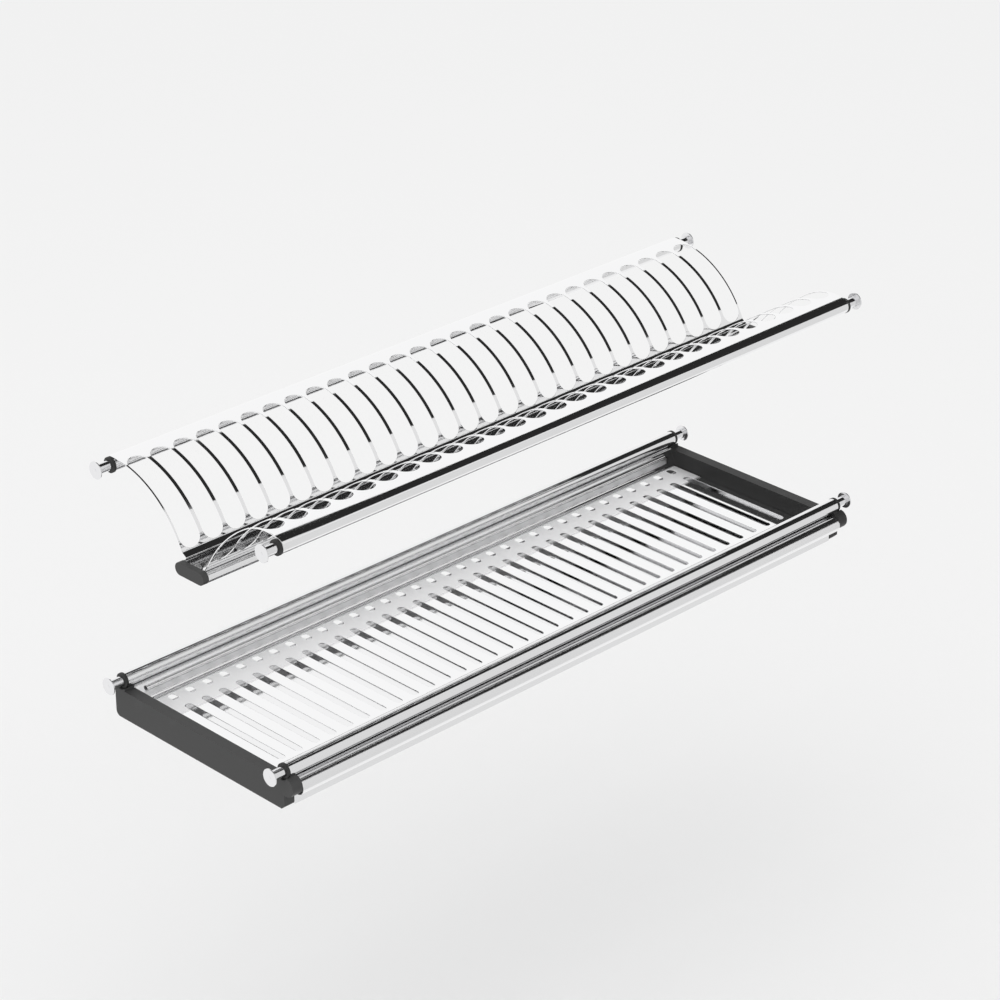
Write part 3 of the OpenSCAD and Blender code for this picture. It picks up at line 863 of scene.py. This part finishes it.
def softened(node: str, name: str, width: float) -> bpy.types.Object:
    """A copy of a CAD node's shape with its edges slightly rounded.

    Args:
        node: The CAD node.
        name: Name of the new object.
        width: Width of the rounding, in metres.

    Returns:
        The new object, with a live bevel.
    """
    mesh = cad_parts[node].data.copy()
    mesh.name = name
    work = bmesh.new()
    work.from_mesh(mesh)
    bmesh.ops.remove_doubles(work, verts=work.verts, dist=1e-6)
    bmesh.ops.dissolve_limit(work, angle_limit=math.radians(1.5), verts=work.verts, edges=work.edges)
    work.to_mesh(mesh)
    work.free()
    mesh.shade_smooth()
    mesh.set_sharp_from_angle(angle=math.radians(28))
    made = bpy.data.objects.new(name, mesh)
    bpy.context.scene.collection.objects.link(made)
    bevel = made.modifiers.new("soft_edges", "BEVEL")
    bevel.width = width
    bevel.segments = 3
    bevel.limit_method = "ANGLE"
    bevel.angle_limit = math.radians(28)
    bevel.harden_normals = True
    bevel.miter_outer = "MITER_ARC"
    return made


# ---------------------------------------------------------------- the pieces


@dataclass(frozen=True)
class RailEnd:
    """The collar and the sprung pin at one end of one rail."""

    level: Level
    row: Row
    side: Side
    tube_half: float = 411.5
    collar_out: float = 3.0
    collar_in: float = 8.0
    collar_r: float = 8.4
    plug_r: float = 6.95
    bore_r: float = 5.55
    pin_r: float = 5.5
    reach: float = 16.0
    disc_r: float = 9.5
    disc_t: float = 1.5
    shoulder_r: float = 6.7
    shoulder_t: float = 4.0
    stem_r: float = 3.0
    stem_len: float = 27.7
    gap: float = 0.3
    spring_len: float = 40.0
    travel: float = 12.0
    soft: float = 0.2
    disc_soft: float = 0.45
    rim_w: float = 1.4
    dish: float = 0.25
    boss_r: float = 3.2
    dimple_r: float = 1.92
    dimple: float = 1.0

    @property
    def name(self) -> str:
        """Stem of the end's node names."""
        return f"{self.level.name}_{self.row.name}_{self.side.name}".lower()

    def collar(self) -> Surface:
        """The collar: its plug in the tube, its flange outside and its bore, spun about the axis."""
        outline = [
            (-self.collar_in, self.bore_r),
            (-self.collar_in, self.plug_r),
            (0.0, self.plug_r),
            (0.0, self.collar_r),
            (self.collar_out, self.collar_r),
            (self.collar_out, self.bore_r),
        ]
        rows = chain(outline, self.soft, -1.0, closed=True, steps=5)
        rows = np.vstack([rows, rows[:1]])
        return Turning(rows).surface(self.side, self.row.value, self.level.value, self.tube_half)

    def pin(self) -> Surface:
        """The pin: stem, shoulder, shaft and end disc, spun about the axis."""
        shoulder = -self.collar_in - self.gap
        spring = shoulder - self.shoulder_t
        disc = self.collar_out + self.reach
        face = disc + self.disc_t
        outline = [
            (spring - self.stem_len, 0.0),
            (spring - self.stem_len, self.stem_r),
            (spring, self.stem_r),
            (spring, self.shoulder_r),
            (shoulder, self.shoulder_r),
            (shoulder, self.pin_r),
            (disc, self.pin_r),
            (disc, self.disc_r),
            (face, self.disc_r),
            (face, self.disc_r - self.rim_w),
            (face - self.dish, self.disc_r - 2 * self.rim_w),
            (face - self.dish, self.boss_r),
            (face, self.dimple_r),
            (face - self.dimple, 0.0),
        ]
        half = len(outline) // 2 - 1
        rows = chain(outline, [self.soft] * half + [self.disc_soft] * half, -1.0, steps=6)
        return Turning(rows).surface(self.side, self.row.value, self.level.value, self.tube_half)

    def build(self, bench: Bench) -> None:
        """Makes the end's pieces and dresses them, and gives the spring its own copy of its mesh."""
        bench.dress(
            self.collar().build(f"{self.name}_bush"), Slot.MOULDING, "racks", f"{self.name}_collar", finish=DARK_AND_SHADED
        )
        bench.dress(self.pin().build(f"{self.name}_plunger"), Slot.PIN, f"{self.name}_pin", f"{self.name}_pin")
        spring = f"{self.name}_spring"
        bench.paint(spring, Slot.SPRING)
        fixed = self.tube_half - self.collar_in - self.gap - self.shoulder_t - self.spring_len
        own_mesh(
            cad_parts[spring],
            f"{self.name}_pin_slide",
            axis=(self.side.value, 0, 0),
            anchor=(self.side.value * fixed * MM, 0, 0),
            keep=1 - self.travel / self.spring_len,
        )
        bench.paint(f"{self.name}_stop", Slot.MOULDING)


@dataclass(frozen=True)
class Rail:
    """A rail tube."""

    level: Level
    row: Row
    half: float = 411.5
    radius: float = 8.0
    bore_r: float = 7.0

    def build(self, bench: Bench) -> None:
        """Carries the tube's two circles along X."""
        centre = (self.row.value, self.level.value)
        outer = arc(centre, self.radius, 0, 360, step=2.5)[:-1]
        bore = arc(centre, self.bore_r, 0, 360, outward=-1.0, step=5)[:-1]
        name = f"{self.level.name}_{self.row.name}_rail".lower()
        piece = Bar((outer, bore), -self.half, self.half).surface().build(f"{name}_tube")
        bench.dress(piece, Slot.TUBE, "racks", name)


@dataclass(frozen=True)
class PlateRack:
    """The upper rack: two slotted sheets between the rails, on the base channel and its caps."""

    half: float = 411.5
    slots: int = 28
    rib_w: float = 4.5
    sheet_t: float = 1.0
    rail_r: float = 8.0
    rear: tuple[float, float] = (125.0, 245.0)
    front: tuple[float, float] = (-125.0, 245.0)
    comb_r: float = 115.0
    comb_slot_inset: float = 14.5
    comb_slot_foot: float = 1.0
    hook_sweep: float = 110.0
    crest_r: float = 65.0
    arch_r: float = 155.0
    arch_foot_deg: float = 58.0
    arch_turn_deg: float = 30.0
    arch_slot_deg: float = 10.0
    land_deg: float = 13.0
    land_w: float = 1.5
    lip_sweep: float = 43.0
    slot_foot_h: float = 12.0
    base_h: float = 14.0
    base_top: float = 178.0
    floor_z: float = 175.5
    base_wall: float = 1.2
    flange: float = 7.0
    shoulder: float = 7.0
    foot_clear: float = 1.5
    comb_lift: float = 9.8
    kick: tuple[float, float] = (6.3, 4.0)
    kick_back: float = 2.3
    comb_foot_y: float = 16.19
    arch_foot_y: float = -13.231
    comb_lead: float = 2.5
    comb_bends: tuple[float, float, float] = (3.0, 0.8, 0.45)
    comb_margins: tuple[float, float] = (4.0, 0.9)
    arch_bend: float = 1.2
    arch_margins: tuple[float, float] = (2.2, 2.5)
    valley_bend: float = 0.15
    groove_degs: tuple[float, float] = (144.0, 216.0)
    groove_w: float = 1.2
    groove_depth: float = 0.5
    groove_bend: float = 0.1
    cap_soft: float = 0.4

    @property
    def sheet_r(self) -> float:
        """Half of the sheet's thickness."""
        return self.sheet_t / 2

    @property
    def pitch(self) -> float:
        """Distance between neighbouring plate slots."""
        return 2 * self.half / self.slots

    def slot_row(self, low: float, high: float, margin_low: float, margin_high: float) -> SlotRow:
        """A full row of plate slots between two distances along a sheet."""
        borders = (np.arange(self.slots + 1) - self.slots / 2) * self.pitch
        return SlotRow(
            borders,
            (borders[:-1] + borders[1:]) / 2,
            (self.pitch - self.rib_w) / 2,
            low,
            high,
            low - margin_low,
            high + margin_high,
        )

    def comb(self) -> Surface:
        """The comb: hook over the rear rail, long curve down and forward, kick and folded foot."""
        middle_r = self.comb_r - self.sheet_r
        centre = (self.rear[0], self.rear[1] + self.rail_r + self.sheet_t - self.comb_r)
        sweep = math.degrees(math.acos((self.floor_z + self.comb_lift - centre[1]) / self.comb_r))
        end = on_circle(centre, middle_r, 90 + sweep)
        start = on_circle(end, self.comb_lead, sweep)
        knee = (end[0] - self.kick[0], end[1] - self.kick[1])
        foot = (knee[0] + self.kick_back, self.floor_z + self.sheet_r)
        rows = np.vstack(
            [
                arc(self.rear, self.rail_r + self.sheet_r, 90 - self.hook_sweep, 90),
                arc(centre, middle_r, 90, 90 + sweep - math.degrees(self.comb_lead / middle_r), step=1),
                chain([start, end, knee, foot, (foot[0] - self.flange, foot[1])], list(self.comb_bends), 1.0)[1:],
            ]
        )
        line = MiddleLine(rows, 1.0)
        high_deg = 90 + math.degrees(math.asin(self.comb_slot_inset / self.comb_r))
        low_deg = 90 + sweep - math.degrees(self.comb_slot_foot / self.comb_r)
        high, low = (line.nearest(*on_circle(centre, middle_r, deg)) for deg in (high_deg, low_deg))
        row = self.slot_row(high, low, *self.comb_margins)
        return PressedSheet(line, self.half, self.sheet_t, (row,)).surface()

    def front_sheet(self) -> Surface:
        """The front sheet: lip on the front rail, flat, crest, long curve down, foot and flange."""
        lip_m, crest_m, arch_m = (
            self.rail_r + self.sheet_r,
            self.crest_r - self.sheet_r,
            self.arch_r - self.sheet_r,
        )
        land = on_circle(self.front, lip_m, 90 + self.land_deg)
        crest_start = on_circle(land, self.land_w, self.land_deg)
        crest_c = on_circle(crest_start, crest_m, self.land_deg - 90)
        arch_c = on_circle(crest_c, crest_m - arch_m, 90 - self.arch_turn_deg)
        arch_end = on_circle(arch_c, arch_m, 90 - self.arch_foot_deg)
        slope = math.sin(math.radians(self.arch_foot_deg))
        foot = on_circle(arch_end, (arch_end[1] - self.floor_z - self.sheet_r) / slope, -self.arch_foot_deg)
        line = MiddleLine(
            np.vstack(
                [
                    arc(self.front, lip_m, 90 + self.land_deg + self.lip_sweep, 90 + self.land_deg),
                    arc(crest_c, crest_m, 90 + self.land_deg, 90 - self.arch_turn_deg, step=1),
                    arc(arch_c, arch_m, 90 - self.arch_turn_deg, 90 - self.arch_foot_deg, step=1),
                    chain([arch_end, foot, (foot[0] + self.flange, foot[1])], self.arch_bend, -1.0)[1:],
                ]
            ),
            -1.0,
        )
        width = (self.pitch - self.rib_w) / 2
        high = line.nearest(*on_circle(crest_c, crest_m, 90 - self.arch_slot_deg)) - width
        low = line.nearest(*on_circle(foot, self.slot_foot_h / slope, 180 - self.arch_foot_deg))
        row = self.slot_row(high, low, *self.arch_margins)
        return PressedSheet(line, self.half, self.sheet_t, (row,)).surface()

    def channel(self) -> Surface:
        """The base channel: a stadium with a sunk floor on top and two grooves along its front."""
        radius = self.base_h / 2
        centre_z = self.base_top - radius
        front = (self.arch_foot_y - self.shoulder + radius, centre_z)
        rear = (self.comb_foot_y + self.shoulder - radius, centre_z)
        slope = math.tan(math.radians(self.arch_foot_deg))
        open_front = self.arch_foot_y - self.foot_clear - (self.base_top - self.floor_z) / slope
        open_rear = self.comb_foot_y + self.foot_clear
        front_turn = math.degrees(math.acos((open_front - front[0]) / radius))
        rear_turn = math.degrees(math.acos((open_rear - rear[0]) / radius))
        lip_front = centre_z + radius * math.sin(math.radians(front_turn))
        lip_rear = centre_z + radius * math.sin(math.radians(rear_turn))
        pieces = [arc(rear, radius, -90, rear_turn)]
        pieces.append(
            chain(
                [
                    (open_rear, lip_rear),
                    (open_rear, self.floor_z),
                    (open_front, self.floor_z),
                    (open_front, lip_front),
                ],
                self.valley_bend,
                1.0,
            )
        )
        edge = front_turn
        half_turn = math.degrees(self.groove_w / 2 / radius)
        deep = radius - self.groove_depth
        for middle in self.groove_degs:
            pieces.append(arc(front, radius, edge, middle - half_turn))
            corners = [
                on_circle(front, reach, middle + way * half_turn)
                for reach, way in ((radius, -1), (deep, -1), (deep, 1), (radius, 1))
            ]
            pieces.append(chain(corners, self.groove_bend, 1.0))
            edge = middle + half_turn
        pieces.append(arc(front, radius, edge, 270))
        outer = np.vstack(pieces)
        inner_r = radius - self.base_wall
        roof = self.floor_z - self.base_wall
        roof_turn = math.degrees(math.asin((roof - centre_z) / inner_r))
        bore = np.vstack(
            [
                arc(rear, inner_r, -90, roof_turn, outward=-1.0, step=5),
                arc(front, inner_r, 180 - roof_turn, 270, outward=-1.0, step=5),
            ]
        )
        return Bar((outer, bore), -self.half, self.half).surface()

    def build(self, bench: Bench) -> None:
        """Makes the rack's pieces and dresses them."""
        bench.dress(self.comb().build("plate_comb_sheet"), Slot.SHEET, "racks", "plate_comb")
        bench.dress(self.front_sheet().build("front_comb_sheet"), Slot.SHEET, "racks", "plate_front_sheet")
        bench.dress(self.channel().build("valley_channel"), Slot.CHANNEL, "racks", "base_channel")
        for side in Side:
            node = f"base_cap_{side.name.lower()}"
            bench.dress(softened(node, f"{node}_moulding", self.cap_soft * MM), Slot.MOULDING, "racks", node)


@dataclass(frozen=True)
class CupShelf:
    """The lower rack: slotted shelf, bead bar, front profile and the two side plates."""

    half: float = 403.5
    plate_inner: float = 404.0
    sheet_t: float = 0.8
    rear_y: float = 125.0
    back_wall_y: float = 117.0
    front_wall_y: float = -112.0
    floor_z: float = -29.0
    bend_r: float = 4.0
    wall_h: float = 17.0
    rail_r: float = 8.0
    columns: int = 35
    column_pitch: float = 22.9
    drain_w: float = 9.0
    short: tuple[float, float] = (109.0, 96.0)
    long: tuple[float, float] = (82.0, -70.0)
    cells: tuple[float, float] = (111.3, -76.0)
    flange_bend: float = 0.9
    bead_r: float = 3.0
    bead_z: float = -15.0
    bead_end: float = 13.0
    strip_end: float = 8.0
    strip_t: float = 0.8
    strip_soft: float = 0.2
    strip_z: tuple[float, float] = (-25.0, -18.6)
    bumper_r: float = 9.25
    bumper_y: float = -133.25
    bumper_z: float = -17.75
    bumper_wall: float = 1.2
    bumper_bend: float = 0.6
    plate_soft: float = 0.5

    def shelf(self) -> Surface:
        """The shelf: rear flange and wall, floor with two rows of drain slots, and front wall."""
        middle = self.sheet_t / 2
        radius = self.bend_r + middle
        back, front = self.back_wall_y + middle, self.front_wall_y - middle
        floor = self.floor_z - middle
        top = -self.rail_r - middle
        bend_z = self.floor_z + self.bend_r
        rows = np.vstack(
            [
                chain([(self.rear_y, top), (back, top), (back, bend_z)], self.flange_bend, 1.0),
                arc((self.back_wall_y - self.bend_r, bend_z), radius, 0, -90, outward=-1.0, step=5),
                arc((self.front_wall_y + self.bend_r, bend_z), radius, 270, 180, outward=-1.0, step=5),
                [[front, self.floor_z + self.wall_h, 1.0, 0.0]],
            ]
        )
        line = MiddleLine(rows, 1.0)
        borders = (np.arange(self.columns + 1) - self.columns / 2) * self.column_pitch
        centres = (borders[:-1] + borders[1:]) / 2
        borders[0], borders[-1] = -self.half, self.half
        split = (self.short[1] + self.long[0]) / 2
        stops = (self.cells[0], *self.short, split, *self.long, self.cells[1])
        ends = [line.nearest(y, floor) for y in stops]
        width = self.drain_w / 2
        slots = (
            SlotRow(borders, centres, width, ends[1], ends[2], ends[0], ends[3]),
            SlotRow(borders, centres, width, ends[4], ends[5], ends[3], ends[6]),
        )
        return PressedSheet(line, self.half, self.sheet_t, slots, edge=0.25, longest=8.0).surface()

    def bead(self) -> list[Surface]:
        """The half-round bar and the flat strip below it, carried along the back wall."""
        bar = np.vstack(
            [
                arc((self.back_wall_y, self.bead_z), self.bead_r, 90, 270, step=4),
                chain(
                    [
                        (self.back_wall_y, self.bead_z - self.bead_r),
                        (self.back_wall_y, self.bead_z + self.bead_r),
                    ],
                    0.0,
                    1.0,
                ),
            ]
        )
        low, high = self.strip_z
        face = self.back_wall_y - self.strip_t
        strip = chain(
            [(face, low), (self.back_wall_y, low), (self.back_wall_y, high), (face, high)],
            self.strip_soft,
            1.0,
            closed=True,
        )
        end, strip_end = self.half - self.bead_end, self.half - self.strip_end
        return [Bar((bar,), -end, end).surface(), Bar((strip,), -strip_end, strip_end).surface()]

    def profile(self) -> Surface:
        """The front profile: a bar with a half-round front, carried between the side plates."""
        back = self.front_wall_y - self.sheet_t

        def outline(inset: float, outward: float) -> Array:
            """The profile's outline, moved in by an inset."""
            radius = self.bumper_r - inset
            rows = np.vstack(
                [
                    arc((self.bumper_y, self.bumper_z), radius, 90, 270),
                    chain(
                        [
                            (self.bumper_y, self.bumper_z - radius),
                            (back - inset, self.bumper_z - radius),
                            (back - inset, self.bumper_z + radius),
                            (self.bumper_y, self.bumper_z + radius),
                        ],
                        self.bumper_bend,
                        1.0,
                    ),
                ]
            )
            rows[:, 2:] *= outward
            return rows

        return Bar((outline(0.0, 1.0), outline(self.bumper_wall, -1.0)), -self.plate_inner, self.plate_inner).surface()

    def build(self, bench: Bench) -> None:
        """Makes the rack's pieces and dresses them."""
        bench.dress(self.shelf().build("drain_shelf_sheet"), Slot.SHEET, "racks", "cup_shelf", finish=SHELF)
        bar, strip = self.bead()
        bench.dress(bar.build("back_wall_bead"), Slot.CHANNEL, "racks", "bead_bar")
        bench.dress(strip.build("back_wall_strip"), Slot.CHANNEL, "racks", finish=SATIN)
        bench.dress(self.profile().build("front_bumper"), Slot.CHANNEL, "racks", "front_profile")
        for side in Side:
            node = f"side_plate_{side.name.lower()}"
            # The right side plate gets the darker moulding: painted shade on the same plastic as the left plate.
            finish = DARK_AND_SHADED if side is Side.RIGHT else None
            piece = softened(node, f"{node}_moulding", self.plate_soft * MM)
            bench.dress(piece, Slot.MOULDING, "racks", node, finish=finish)


@dataclass(frozen=True)
class DripTray:
    """The pull-out tray."""

    soft: float = 0.4

    def build(self, bench: Bench) -> None:
        """Makes the tray with softly rounded edges and dresses it."""
        bench.dress(softened("drip_tray", "drip_tray_pan", self.soft * MM), Slot.TRAY, "tray", "drip_tray")


# ---------------------------------------------------------------- the studio


@dataclass(frozen=True)
class Studio:
    """Camera, pale floor, soft light, and the dark ceiling that the polished steel reflects."""

    camera_at: Colour = (-2.1853, -2.2207, 1.7002)
    camera_way: Colour = (0.62813, 0.63790, -0.44556)
    lens: float = 117.92
    sensor: float = 36.0
    backdrop: Colour = (0.87, 0.87, 0.87)
    surround: Colour = (1.0, 1.0, 1.0)
    ceiling_tone: Colour = (0.022, 0.022, 0.022)
    wall_tone: Colour = (0.81, 0.81, 0.81)
    floor_z: float = -0.40
    floor_half: float = 12.0
    ceiling_z: float = 1.5
    wall_y: float = -3.0
    wall_x: tuple[float, float] = (-4.0, 9.0)
    wall_z: tuple[float, float] = (-4.0, 9.0)
    lamp_at: Colour = (-0.4, 0.3, 2.8)
    lamp_aim: Colour = (0.0, 0.0, 0.15)
    lamp_size: float = 2.0
    lamp_power: float = 6.0

    def camera(self) -> None:
        """The camera at the photograph's place and angle."""
        lens = bpy.data.cameras.new("camera")
        lens.lens, lens.sensor_width, lens.sensor_fit = self.lens, self.sensor, "HORIZONTAL"
        lens.clip_start, lens.clip_end = 0.05, 60.0
        held = bpy.data.objects.new("camera", lens)
        held.location = self.camera_at
        held.rotation_mode = "QUATERNION"
        held.rotation_quaternion = Vector(self.camera_way).to_track_quat("-Z", "Y")
        bpy.context.scene.collection.objects.link(held)
        bpy.context.scene.camera = held

    def sheet(self, name: str, corners: list[Colour]) -> bpy.types.Object:
        """A flat stage piece through its corners."""
        mesh = bpy.data.meshes.new(name)
        mesh.from_pydata(corners, [], [tuple(range(len(corners)))])
        made = bpy.data.objects.new(name, mesh)
        bpy.context.scene.collection.objects.link(made)
        return made

    def floor(self) -> None:
        """The pale floor, which keeps the object's shadow."""
        half = self.floor_half
        corners = [(-half, -half, self.floor_z), (half, -half, self.floor_z), (half, half, self.floor_z)]
        corners.append((-half, half, self.floor_z))
        made = self.sheet("floor", corners)
        material, recipe = new_material("floor_paper")
        grain = recipe.noise(recipe.place(), 6.0, 3.0)
        shader = recipe.node(
            "ShaderNodeBsdfDiffuse",
            None,
            {"Color": recipe.blend(grain, shade(self.backdrop, 0.998), shade(self.backdrop, 1.002))},
        )
        recipe.node("ShaderNodeOutputMaterial", None, {0: shader.outputs[0]})
        made.data.materials.append(material)
        made.visible_glossy = False

    def panel(self, name: str, corners: list[Colour], tone: Colour) -> None:
        """A panel beside the set, of one even tone, which only mirror surfaces see."""
        made = self.sheet(name, corners)
        material, recipe = new_material(f"{name}_cloth")
        glow = recipe.node("ShaderNodeEmission", None, {"Color": (*tone, 1.0), "Strength": 1.0})
        recipe.node("ShaderNodeOutputMaterial", None, {0: glow.outputs[0]})
        made.data.materials.append(material)
        made.visible_camera = made.visible_diffuse = made.visible_shadow = False
        made.visible_transmission = False

    def panels(self) -> None:
        """The dark ceiling over the set and the light grey wall in front of it."""
        edge = [(3.2, 0.8), (1.9, 0.72), (1.1, 0.58), (0.8, 0.62), (0.6, 0.97), (-1.2, 0.97)]
        edge += [(0.5, -0.59), (0.68, -0.95), (1.0, -1.12), (1.5, -1.32), (3.2, -2.2)]
        self.panel("ceiling", [(x, y, self.ceiling_z) for x, y in edge], self.ceiling_tone)
        (left, right), (low, high), y = self.wall_x, self.wall_z, self.wall_y
        corners = [(left, y, low), (right, y, low), (right, y, high), (left, y, high)]
        self.panel("front_wall", corners, self.wall_tone)

    def world(self) -> None:
        """An even white surround, and the backdrop's own tone for what the camera sees directly."""
        world = bpy.data.worlds.new("studio")
        world.use_nodes = True
        bpy.context.scene.world = world
        recipe = Recipe(world.node_tree)
        seen = Value(recipe, recipe.node("ShaderNodeLightPath").outputs["Is Camera Ray"])
        colour = recipe.blend(seen, self.surround, self.backdrop)
        ground = recipe.node("ShaderNodeBackground", None, {"Color": colour, "Strength": 1.0})
        recipe.node("ShaderNodeOutputWorld", None, {0: ground.outputs[0]})

    def lamp(self) -> None:
        """A square soft lamp that faces the object."""
        light = bpy.data.lights.new("soft_key", "AREA")
        light.size, light.energy = self.lamp_size, self.lamp_power
        held = bpy.data.objects.new("soft_key", light)
        held.location = self.lamp_at
        held.rotation_mode = "QUATERNION"
        held.rotation_quaternion = (Vector(self.lamp_aim) - Vector(self.lamp_at)).to_track_quat("-Z", "Y")
        held.visible_glossy = False
        bpy.context.scene.collection.objects.link(held)

    def build(self) -> None:
        """Sets the studio up."""
        self.camera()
        self.floor()
        self.panels()
        self.world()
        self.lamp()
        bpy.context.scene.view_settings.view_transform = "Standard"


def main() -> None:
    """Builds the studio and the racks."""
    Studio().build()
    bench = Bench()
    for level in Level:
        for row in Row:
            Rail(level, row).build(bench)
            for side in Side:
                RailEnd(level, row, side).build(bench)
    PlateRack().build(bench)
    CupShelf().build(bench)
    DripTray().build(bench)


if __name__ == "__main__":
    main()
